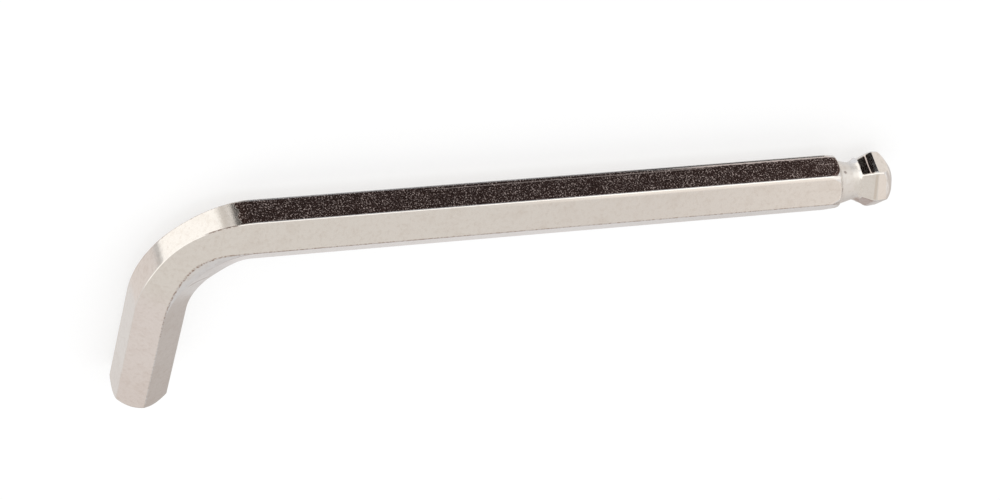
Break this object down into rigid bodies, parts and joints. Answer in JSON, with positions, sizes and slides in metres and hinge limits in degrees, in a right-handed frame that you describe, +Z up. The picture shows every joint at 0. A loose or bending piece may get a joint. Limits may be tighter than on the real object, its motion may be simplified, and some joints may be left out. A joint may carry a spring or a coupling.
{
  "type": "hex key",
  "caption": "L-shaped hexagonal key of plated steel, 10 mm across flats, with a ball end on the long arm and a plain chamfered short arm.",
  "frame": {"origin": "middle of the outer box, on the surface that the key lies on", "axes": "+X along the long arm towards the ball end, -Y along the short arm towards its tip, +Z up from the surface that the key lies on"},
  "size_m": [0.15, 0.0506, 0.0114],
  "materials": {
    "plated_steel": "satin nickel plate on chrome vanadium steel, warm grey, with light wear on the edges"
  },
  "bodies": {
    "root": {"hex_key": "plated_steel"}
  },
  "joints": []
}
